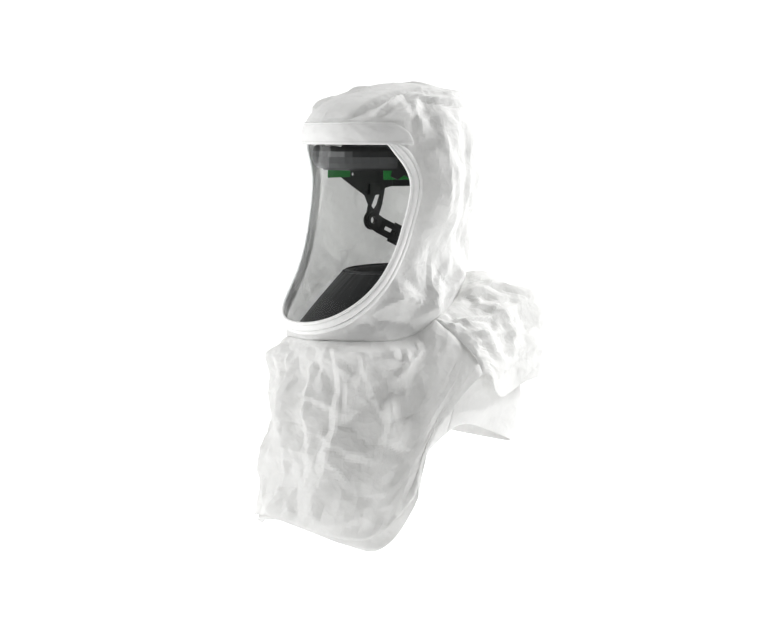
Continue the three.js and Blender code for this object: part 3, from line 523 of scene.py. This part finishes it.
# Long folds of the shroud, in degrees round the head and millimetres of height: both ends,
# half width, height and bow, in millimetres.
SHROUD_FOLDS = [
    [(118, -140), (60, -205), 12, 7, 6], [(128, -120), (78, -196), 10, 6, -5],
    [(108, -120), (84, -210), 9, 6, 4], [(96, -110), (92, -205), 9, 5, -4],
    [(140, -105), (104, -196), 11, 6, 5], [(86, -150), (38, -210), 8, 5, 3],
    [(78, 70), (92, -60), 13, 7, 8], [(88, 40), (104, -90), 10, 5, -6],
    [(70, 96), (84, 0), 8, 5, 4], [(112, 60), (120, -70), 12, 4, 6],
    [(62, 74), (74, 110), 9, 6, 2], [(40, 78), (62, 128), 9, 7, 3],
    [(20, 78), (34, 130), 8, 5, -3], [(0, 78), (8, 140), 9, 5, 3],
    [(86, 88), (99, -84), 24, 12, 8], [(50, 76), (80, 124), 20, 9, 4],
    [(66, 118), (128, 104), 10, 8, 6], [(100, 120), (150, 90), 9, 6, -5]]


def shroud_folds(u, v):
    """The long folds on both sides; the right side's are moved a little, to break the mirror."""
    total = np.zeros(u.shape)
    for side in (1, -1):
        for (a0, z0), (a1, z1), half, height, bow in SHROUD_FOLDS:
            if side < 0:
                a0, a1, z0, z1 = -a0 - 4, -a1 + 3, z0 + 8, z1 + 5
            total += folds(u, v, [((along_girth(a0), z0 * MM), (along_girth(a1), z1 * MM), half, height,
                                   bow * side)])
    return total


def shroud_height(angle, u, v):
    """How far the crumpled shroud stands off its smooth surface."""
    wide = facets(u, v, SHROUD_WIDE, 11, GIRTH)
    fine = facets(u, v, SHROUD_FINE, 23, GIRTH)
    fine *= 0.75 + 0.5 * (1 - smoothstep(v, -0.16, -0.04))
    top = smoothstep(v, LENS_TOP + 0.125, LENS_TOP + 0.165)
    height = (wide + fine) * (1 - 0.75 * top) + shroud_folds(u, v) * (1 - top)
    height -= 5 * MM * smoothstep(v, LENS_TOP + 0.03, LENS_TOP + 0.08)
    strip = (1 - smoothstep(np.abs(angle), STRIP_ANGLE - 4, STRIP_ANGLE + 14)) * (1 - smoothstep(
        v, LENS_TOP + BROW_STRIP, LENS_TOP + BROW_STRIP + 0.014)) * (v > LENS_TOP - 1e-6)
    free = smoothstep(lens_distance(u, v), 0.007, 0.024)
    free = np.where((v > LENS_TOP) & (np.abs(angle) < STRIP_ANGLE), 1.0, free)
    seam = smoothstep(v - seam_height(angle), 0.0, 0.02)
    height *= free * (1 - 0.96 * strip) * (0.6 + 0.4 * seam)
    x = np.abs(crown_across(angle, v))
    over_duct = smoothstep(v, LENS_TOP + 0.02, LENS_TOP + 0.04) * (1 - smoothstep(x, 0.034, 0.046))
    # the cloth hardly dips over the air inlet at the back; the nape cradle below has no such room
    behind = (1 - smoothstep(180 - np.abs(angle), 24, 40)) * smoothstep(v, -0.075, -0.05)
    height = np.maximum(height, -0.4 * MM - 9 * MM * (1 - behind))
    return np.where(over_duct > 0, np.maximum(height, -1 * MM - 8 * MM * (1 - over_duct)),
                    np.maximum(height, -9 * MM + 7 * MM * (1 - smoothstep(
                        v - seam_height(angle), 0.012, 0.045))))


def crown_across(angle, v):
    """Sideways distance from the middle of the hood, near enough to place the air duct."""
    reach = np.clip(1 - (v - LENS_TOP) / 0.15, 0, 1)
    return 0.112 * np.sin(np.radians(angle)) * reach


def make_shroud():
    """The whole shroud as one cloth with the lens opening; returns its lift along the seam."""
    angle, u, v, points = shroud_grid()
    lift = shroud_height(angle, u, v)
    surface = points + normals_of(points, True) * lift[..., None]
    surface[-1] = surface[-1].mean(axis=0)
    middle = v + 0.5 * (LENS_TOP - SEAM_Z) / WALL_ROWS
    half = lens_half_angle(np.clip(middle, LENS_BOTTOM, LENS_TOP))
    hole = (np.abs(angle + 0.5) < half) & (middle > LENS_BOTTOM) & (v < LENS_TOP - 1e-6)
    kept = []
    for f in grid_faces(v.shape[0], COLUMNS, True):
        j, i = divmod(f[0], COLUMNS)
        if not hole[j, i]:
            kept.append(f)
    cloth_piece("hood_panels", surface, kept, NONWOVEN, np.stack([u, v], -1),
                nodes=("hood_left_panel", "hood_right_panel", "hood_crown_panel"))
    return lift[0]


def strip_point(u, v, out):
    """Point of the brow strip: u from its right end to its left, v from lens to top edge."""
    half = STRIP_ANGLE + 5 - 13 * v**2.5
    z = LENS_TOP - 2.5 * MM + (BROW_STRIP + 3 * MM) * v
    angle = u * half
    bow = 1.6 * MM * np.sin(np.pi * v) * (1 - u**4)
    base = skin(angle, z)
    normal = np.stack([np.sin(np.radians(angle)), -np.cos(np.radians(angle)),
                       np.full(angle.shape, 0.25)], -1)
    normal /= np.linalg.norm(normal, axis=-1, keepdims=True)
    return base + normal * (np.asarray(out) + bow)[..., None]


def make_brow_strip():
    """Plain folded strip over the top of the lens, with its stitch lines."""
    u, v = np.meshgrid(np.linspace(-1, 1, 150), np.linspace(0, 1, 22))
    soft = facets(u * 0.12, v * 0.03, [(16, 11, 0.7), (7, 5, 0.25)], 41)
    turned = 0.7 * MM * (np.exp(-((v - 0.06) / 0.05) ** 2) + np.exp(-((v - 0.94) / 0.05) ** 2))
    surface = strip_point(u, v, 1.4 * MM + soft + turned)
    cloth_piece("brow_strip", surface, grid_faces(22, 150), STRIP_CLOTH,
                np.stack([u * 0.13, v * 0.03], -1))
    along = np.linspace(-0.99, 0.99, 120)
    return [strip_point(along, np.full(120, k), np.full(120, 2.0 * MM)) for k in (0.13, 0.87)]


# ------------------------------------------------------------------ bibs
# Half way and hem points of the bibs against the angle round the neck, in millimetres.
OUTER_MID = np.array([
    [0, 0, -178, -330], [22, 54, -172, -332], [46, 104, -134, -338], [62, 128, -100, -335],
    [77, 140, -70, -316], [86, 150, -44, -280], [96, 152, 0, -226], [106, 150, 40, -224],
    [118, 138, 84, -222], [140, 104, 170, -203], [160, 60, 196, -200], [180, 0, 202, -199]],
    float)
OUTER_HEM = np.array([
    [0, 0, -214, -452], [22, 54, -204, -459], [46, 107, -170, -472], [62, 131, -138, -467],
    [77, 146, -98, -426], [86, 149, -64, -350], [96, 178, 6, -262], [106, 166, 48, -292],
    [118, 150, 80, -302], [140, 114, 162, -282], [160, 60, 190, -284], [180, 0, 197, -286]],
    float)
INNER_MID = np.array([
    [0, 0, -166, -334], [22, 51, -160, -336], [46, 96, -124, -340], [62, 119, -92, -338],
    [77, 129, -62, -316], [86, 138, -40, -284], [96, 138, 0, -240], [106, 136, 38, -242],
    [118, 122, 74, -252], [140, 92, 150, -264], [160, 54, 172, -264], [180, 0, 177, -264]],
    float)
INNER_HEM = np.array([
    [0, 0, -204, -458], [22, 52, -195, -466], [46, 102, -164, -482], [62, 128, -132, -488],
    [77, 142, -94, -450], [86, 144, -66, -378], [96, 138, -20, -345], [106, 128, 20, -338],
    [118, 112, 70, -350], [140, 92, 146, -377], [160, 52, 166, -384], [180, 0, 172, -386]],
    float)


def bib_surface(mid, hem, turn, v, inset):
    """Points of a bib: turn runs round the neck in degrees, v from the hem to the seam."""
    angle = np.where(turn > 180, turn - 360, turn)
    size = np.abs(angle)
    start = wall(angle, seam_height(angle), inset)

    def along(rows):
        point = through(rows, size) * MM
        point[..., 0] *= np.sign(angle)
        return point

    s = (1 - v)[..., None]
    return (start * (1 - s) * (1 - 2 * s) + along(mid) * 4 * s * (1 - s)
            + along(hem) * s * (2 * s - 1))


# Long folds of the front and rear bib, as the folds of the shroud, with the height above the
# hem in millimetres.
FRONT_FOLDS = [
    [(10, 236), (22, 60), 11, 8, 8], [(30, 240), (26, 30), 12, 9, -7],
    [(44, 238), (60, 120), 10, 8, 6], [(58, 226), (50, 40), 11, 8, -8],
    [(72, 230), (70, 150), 9, 7, 5], [(-8, 238), (-16, 40), 12, 8, -6],
    [(-30, 238), (-24, 60), 10, 7, 7], [(-52, 236), (-60, 60), 11, 7, -5],
    [(-74, 230), (-66, 120), 9, 6, 5], [(84, 220), (60, 190), 8, 6, 3],
    [(20, 120), (52, 96), 8, 5, 4], [(2, 170), (34, 150), 8, 5, -4]]
REAR_FOLDS = [
    [(104, 236), (112, 40), 12, 8, 6], [(124, 236), (118, 60), 10, 7, -6],
    [(140, 240), (152, 60), 12, 8, 5], [(170, 240), (166, 50), 11, 6, -5],
    [(200, 240), (208, 60), 12, 8, 5], [(232, 236), (226, 50), 11, 7, -5],
    [(252, 236), (246, 60), 10, 7, 4], [(100, 200), (150, 150), 9, 6, 5]]


def make_bib(node, mid, hem, ends, inset, layers, seed, shift, lines, material, seam_lift):
    """A creased bib between two angles; shift moves it out (the outer layer) or in, and
    seam_lift is how far the shroud stands off at the seam it hangs from."""
    columns, rows = int((ends[1] - ends[0]) / 360 * BIB_GIRTH / BIB_STEP), BIB_ROWS
    turn, v = np.meshgrid(np.linspace(ends[0], ends[1], columns), np.linspace(0, 1, rows))
    turned = np.where(turn > 180, turn - 360, turn)
    points = bib_surface(mid, hem, turn, v, inset)
    u, w = turn / 360 * BIB_GIRTH, v * BIB_DROP
    lift = facets(u, w, layers, seed)
    for (a0, z0), (a1, z1), half, height, bow in lines:
        lift += folds(u, w, [((a0 / 360 * BIB_GIRTH, z0 * MM), (a1 / 360 * BIB_GIRTH, z1 * MM),
                              half, height, bow)])
    lift = np.maximum(lift + shift, -5 * MM if shift > 0 else -12 * MM)
    below = 1 - v
    held = smoothstep(below, 0.0, 0.07)
    puff = np.exp(-((below - 0.09) / 0.09) ** 2) * np.cos(np.radians(np.minimum(
        np.abs(turned) * 0.9, 90)))
    carried = np.interp(turned, np.linspace(-180, 180, COLUMNS, endpoint=False), seam_lift)
    lift = lift * held + puff * (9 * MM if shift > 0 else 3 * MM) * held
    lift += carried * (1 - smoothstep(below, 0.0, 0.2)) * smoothstep(np.abs(turned), 40, 80)
    surface = points + normals_of(points, False) * lift[..., None]
    cloth_piece(node, surface, grid_faces(rows, columns), material, np.stack([u, w], -1))


# ------------------------------------------------------------------ lens, trim and collar
def lens_edge_at(w, out):
    """The outline of the lens moved outwards along the cloth."""
    step = 0.004
    a0, z0 = lens_edge(np.clip(w - step, 0, 1))
    a1, z1 = lens_edge(np.clip(w + step, 0, 1))
    angle, z = lens_edge(w)
    per_degree = np.linalg.norm(wall(angle + 1, z) - wall(angle, z), axis=-1)
    du = (a1 - a0) * per_degree * smoothstep(w, 0, 0.08)
    dz = z1 - z0
    length = np.hypot(du, dz)
    a = angle - dz / length * out / per_degree
    height = np.minimum(z + du / length * out, LENS_TOP)
    return np.where(w >= 1, 0.0, a), np.where(w >= 1, z - out, height)


def make_lens():
    """The lens, a single clear sheet that ends under the binding."""
    rows, columns = 90, 80
    inset = 1.2 * MM
    w, across = np.meshgrid(np.linspace(0.995, 0, rows), np.linspace(-1, 1, columns),
                            indexing="ij")
    angle, z = lens_edge_at(w, -2 * MM)
    points = wall(angle * np.sin(across * np.pi / 2), np.minimum(z, LENS_TOP - 0.4 * MM), inset)
    piece = new_piece("lens_film", points, grid_faces(rows, columns), LENS_FILM)
    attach(piece, "hood")
    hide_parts("face_lens")


# Section of the folded binding round the lens, from its outer edge to its lens edge: place
# across the width and height above the cloth, in millimetres.
TRIM_SECTION = np.array([
    [-8.0, 0.2], [-7.6, 1.2], [-6.8, 1.9], [-5.6, 2.2], [-4.4, 1.9], [-3.6, 1.1], [-3.1, 0.9],
    [-2.5, 1.5], [-1.0, 2.6], [1.0, 3.1], [3.0, 3.0], [4.2, 2.3], [4.7, 1.6], [5.2, 1.6],
    [5.8, 2.2], [6.6, 2.5], [7.4, 2.1], [7.9, 1.2], [8.0, 0.1], [7.6, -0.8]])


def trim_point(s, out, height):
    """Point of the binding: s runs -1 to 1 round the lens through its lowest point."""
    w = 1 - np.abs(s)
    angle, z = lens_edge_at(w, out)
    point = wall(np.where(s < 0, -angle, angle), np.minimum(z, LENS_TOP - 1 * MM))
    centre = np.zeros(point.shape)
    centre[..., 1] = (through(WALL, np.clip(point[..., 2] / MM, -217, 40))[..., 2]) * MM
    centre[..., 2] = point[..., 2]
    away = point - centre
    away /= np.linalg.norm(away, axis=-1, keepdims=True)
    return point + away * np.asarray(height)[..., None]


def make_trim():
    """Folded binding round the lens; returns its two rows of stitches."""
    s = np.linspace(-1, 1, 380)
    ease = smoothstep(1 - np.abs(s), 0, 0.02)
    section = TRIM_SECTION * MM
    s_grid, out = np.meshgrid(s, -section[:, 0], indexing="ij")
    height = np.broadcast_to(section[:, 1], s_grid.shape) * (0.6 + 0.4 * ease[:, None])
    ripple = 0.25 * MM * np.sin(s_grid * 160) * np.sin(s_grid * 37 + 1)
    points = trim_point(s_grid, out, height + ripple)
    points = np.moveaxis(points, 0, 1)
    rows, columns = points.shape[:2]
    piece = new_piece("lens_binding", points[::-1], grid_faces(rows, columns), BINDING)
    shell = piece.modifiers.new("thickness", "SOLIDIFY")
    shell.thickness = 0.9 * MM
    shell.offset = -1
    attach(piece, "hood")
    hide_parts("lens_trim")
    return [trim_point(s, np.full(s.shape, k * MM), np.full(s.shape, h * MM))
            for k, h in ((3.35, 1.35), (-4.95, 1.95))]


def make_collar():
    """Stretch collar, from its seam under the shroud to the gathered opening."""
    columns, rows = 300, 46
    turn, v = np.meshgrid(np.linspace(-180, 180, columns, endpoint=False),
                          np.linspace(1, 0, rows))
    t = np.radians(turn)
    rim = np.stack([NECK_RADIUS * np.sin(t), NECK_Y - NECK_RADIUS * np.cos(t),
                    NECK_Z - NECK_TILT * np.cos(t)], -1)
    seat = seam_height(turn) + 3 * MM - 1.6 * MM * np.cos(t)
    foot = wall(turn, seat, 4.8 * MM)
    points = rim * (1 - v)[..., None] + foot * v[..., None]
    points[..., 2] += (8 * np.cos(t) - 3) * MM * np.sin(np.pi * v)
    rng = np.random.default_rng(5)
    gather = sum(rng.uniform(0.3, 1) / k**0.5 * np.sin(k * t + rng.uniform(0, 6.28))
                 for k in (5, 8, 13, 17, 23, 31, 43))
    near_rim = np.exp(-v / 0.35)
    lift = gather * 1.1 * MM * near_rim + 1.2 * MM * np.sin(3 * t + 1) * np.sin(np.pi * v)
    surface = points + normals_of(points, True) * lift[..., None]
    uv = np.stack([turn / 360 * 0.5, (1 - v) * 0.09], -1)
    cloth_piece("neck_collar", surface, grid_faces(rows, columns, True), COLLAR_KNIT, uv)


# ------------------------------------------------------------------ stitching
def stitch_tree():
    """Thread laid along a path: short stitches with a gap between them."""
    tree = bpy.data.node_groups.new("stitches", "GeometryNodeTree")
    face = tree.interface
    face.new_socket("Path", in_out="INPUT", socket_type="NodeSocketGeometry")
    for name in ("Pitch", "Stitch", "Radius"):
        face.new_socket(name, in_out="INPUT", socket_type="NodeSocketFloat")
    face.new_socket("Thread", in_out="INPUT", socket_type="NodeSocketMaterial")
    face.new_socket("Stitching", in_out="OUTPUT", socket_type="NodeSocketGeometry")
    start = tree.nodes.new("NodeGroupInput")
    end = tree.nodes.new("NodeGroupOutput")
    path = add(tree, "GeometryNodeMeshToCurve", Mesh=start.outputs["Path"])
    even = add(tree, "GeometryNodeResampleCurve", {"mode": "LENGTH"}, Curve=path.outputs[0],
               Length=start.outputs["Pitch"])
    heading = add(tree, "GeometryNodeInputTangent")
    turn = add(tree, "FunctionNodeAlignEulerToVector", {"axis": "Z"}, Vector=heading.outputs[0])
    one = add(tree, "GeometryNodeMeshCylinder", {"Vertices": 5, "fill_type": "NGON"},
              Radius=start.outputs["Radius"], Depth=start.outputs["Stitch"])
    laid = add(tree, "GeometryNodeInstanceOnPoints", Points=even.outputs[0],
               Instance=one.outputs["Mesh"], Rotation=turn.outputs[0])
    real = add(tree, "GeometryNodeRealizeInstances", Geometry=laid.outputs[0])
    done = add(tree, "GeometryNodeSetMaterial", Geometry=real.outputs[0],
               Material=start.outputs["Thread"])
    tree.links.new(done.outputs[0], end.inputs[0])
    return tree


def sew(name, lines, pitch, length, radius, material):
    """Rows of stitches along lines of points, as one plain mesh that rides on the hood."""
    points = np.concatenate(lines)
    edges, first = [], 0
    for line in lines:
        edges += [(first + k, first + k + 1) for k in range(len(line) - 1)]
        first += len(line)
    mesh = bpy.data.meshes.new(name + "_path")
    mesh.from_pydata(points.tolist(), edges, [])
    guide = bpy.data.objects.new(name + "_path", mesh)
    bpy.context.scene.collection.objects.link(guide)
    nodes = guide.modifiers.new("stitches", "NODES")
    nodes.node_group = STITCHES
    values = {"Pitch": pitch, "Stitch": length, "Radius": radius, "Thread": material}
    for item in STITCHES.interface.items_tree:
        if item.in_out == "INPUT" and item.name in values:
            nodes[item.identifier] = values[item.name]
    graph = bpy.context.evaluated_depsgraph_get()
    made = bpy.data.meshes.new_from_object(guide.evaluated_get(graph))
    bpy.data.objects.remove(guide)
    piece = bpy.data.objects.new(name, made)
    bpy.context.scene.collection.objects.link(piece)
    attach(piece, "hood")


# ------------------------------------------------------------------ pads and harness
def make_pad(node, material, body):
    """A foam pad: the solid's own shape with rounded, slightly crowned faces."""
    mesh = bpy.data.objects[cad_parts[node].name].data.copy()
    piece = bpy.data.objects.new("pad_" + node, mesh)
    bpy.context.scene.collection.objects.link(piece)
    work = bmesh.new()
    work.from_mesh(mesh)
    bmesh.ops.remove_doubles(work, verts=work.verts, dist=1e-5)
    bmesh.ops.recalc_face_normals(work, faces=work.faces)
    sharp = [e for e in work.edges if e.calc_face_angle(0) > 0.9]
    bmesh.ops.bevel(work, geom=sharp, offset=0.9 * MM, segments=3, affect="EDGES",
                    profile=0.6, clamp_overlap=True)
    work.to_mesh(mesh)
    work.free()
    mesh.materials.clear()
    mesh.materials.append(material)
    mesh.polygons.foreach_set("use_smooth", [True] * len(mesh.polygons))
    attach(piece, body)
    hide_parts(node)


def finish_nodes(material, *nodes):
    """Gives a material to pieces that are shown as they were designed."""
    for node in nodes:
        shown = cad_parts[node]
        if shown.material_slots:
            for place in shown.material_slots:
                place.material = material
        else:
            shown.data.materials.append(material)


seam_lift = make_shroud()
strip_lines = make_brow_strip()
FRONT, REAR = (-96.0, 96.0), (96.0, 264.0)
make_bib("outer_front_bib", OUTER_MID, OUTER_HEM, FRONT, 0, OUTER_LAYERS, 71, 2 * MM,
         FRONT_FOLDS, NONWOVEN, seam_lift)
make_bib("outer_rear_bib", OUTER_MID, OUTER_HEM, REAR, 0, OUTER_LAYERS, 83, 2 * MM,
         REAR_FOLDS, NONWOVEN, seam_lift)
make_bib("inner_front_bib", INNER_MID, INNER_HEM, FRONT, 9 * MM, INNER_LAYERS, 97, -4 * MM, [],
         INNER_CLOTH, 0 * seam_lift)
make_bib("inner_rear_bib", INNER_MID, INNER_HEM, REAR, 9 * MM, INNER_LAYERS, 103, -4 * MM, [],
         INNER_CLOTH, 0 * seam_lift)
make_lens()
trim_lines = make_trim()
make_collar()
STITCHES = stitch_tree()
sew("hood_stitching", trim_lines + strip_lines, 3.0 * MM, 2.2 * MM, 0.22 * MM, THREAD)

make_pad("brow_pad", BLACK_FOAM, "hood")
make_pad("rear_pad", GREEN_FOAM, "hood")
make_pad("crown_pad", BLACK_FOAM, "hood")
make_pad("nape_pad", BLACK_FOAM, "cradle")
for side in ("left", "right"):
    make_pad("vent_pad_" + side, GREEN_MESH, "hood")
    make_pad("hook_patch_" + side, HOOK_TAPE, "hood")
    finish_nodes(STEEL, "strap_rivet_" + side)
    finish_nodes(HARNESS_BLACK, "pivot_eyelet_" + side, "nape_strap_" + side)
    finish_nodes(GREEN_PLASTIC, "release_tab_" + side)
finish_nodes(HARNESS_BLACK, "headband_frame", "brow_diffuser", "rear_band", "crown_strap",
             "crown_duct", "inlet_spigot", "nape_cradle", "ratchet_base", "ratchet_pinion")
finish_nodes(SWIVEL_BLACK, "swivel_connector", "ratchet_knob")
finish_nodes(STEEL, "spigot_retaining_ring", "detent_spring", "knob_screw")
finish_nodes(RUBBER, "spigot_o_ring", "collar_elastic")

# ------------------------------------------------------------------ light, floor and camera
VIEW_AZIMUTH, VIEW_ELEVATION = 50.0, 6.0         # degrees, from the front
CAMERA_DISTANCE, FOCAL, SENSOR = 2.518, 85.0, 36.0
CAMERA_TARGET = Vector((0.0081, -0.0231, -0.2002))


def studio():
    """White room with a curved back wall, and three soft lights."""
    scene = bpy.context.scene
    world = bpy.data.worlds.new("studio")
    world.use_nodes = True
    world.node_tree.nodes["Background"].inputs["Color"].default_value = linear("#ffffff")
    world.node_tree.nodes["Background"].inputs["Strength"].default_value = 0.27
    scene.world = world
    scene.view_settings.view_transform = "Standard"

    floor_z = cad_low.z - 0.16
    profile = [(-3.0, 0.0), (2.2, 0.0)] + [
        (2.2 + 0.8 * math.sin(t), 0.8 - 0.8 * math.cos(t))
        for t in np.linspace(0.1, math.pi / 2, 12)] + [(3.0, 4.0)]
    turn = math.radians(VIEW_AZIMUTH)
    away = Vector((-math.sin(turn), math.cos(turn), 0))
    across = Vector((math.cos(turn), math.sin(turn), 0))
    points = [away * d + across * s + Vector((0, 0, floor_z + h))
              for s in (-6.0, 6.0) for d, h in profile]
    n = len(profile)
    faces = [(i, n + i, n + i + 1, i + 1) for i in range(n - 1)]
    white, tree, surface, _ = new_material("white paint")
    paint = add(tree, "ShaderNodeBsdfPrincipled", {"Base Color": linear("#fcfcfc"),
                                                    "Roughness": 0.9,
                                                    "Emission Color": linear("#ffffff"),
                                                    "Emission Strength": 0.5})
    tree.links.new(paint.outputs[0], surface)
    floor = new_piece("floor", points, faces, white)

    def softbox(name, azimuth, elevation, distance, size, power):
        a, e = math.radians(azimuth), math.radians(elevation)
        back = Vector((math.sin(a) * math.cos(e), -math.cos(a) * math.cos(e), math.sin(e)))
        light = bpy.data.lights.new(name, "AREA")
        light.shape = "RECTANGLE"
        light.size, light.size_y = size
        light.energy = power
        lamp = bpy.data.objects.new(name, light)
        lamp.location = back * distance + Vector((0, 0, -0.15))
        lamp.rotation_mode = "QUATERNION"
        lamp.rotation_quaternion = (-back).to_track_quat("-Z", "Y")
        scene.collection.objects.link(lamp)

    softbox("left softbox", VIEW_AZIMUTH - 84, 20, 1.7, (0.7, 1.5), 22)
    softbox("right softbox", VIEW_AZIMUTH + 105, 36, 1.8, (0.6, 1.2), 42)
    softbox("overhead", VIEW_AZIMUTH - 10, 78, 1.6, (1.2, 1.2), 3)


def camera():
    a, e = math.radians(VIEW_AZIMUTH), math.radians(VIEW_ELEVATION)
    back = Vector((math.sin(a) * math.cos(e), -math.cos(a) * math.cos(e), math.sin(e)))
    data = bpy.data.cameras.new("camera")
    data.lens, data.sensor_width = FOCAL, SENSOR
    data.clip_start, data.clip_end = 0.05, 50
    view = bpy.data.objects.new("camera", data)
    view.location = CAMERA_TARGET + back * CAMERA_DISTANCE
    view.rotation_mode = "QUATERNION"
    view.rotation_quaternion = (-back).to_track_quat("-Z", "Y")
    bpy.context.scene.collection.objects.link(view)
    bpy.context.scene.camera = view


studio()
camera()
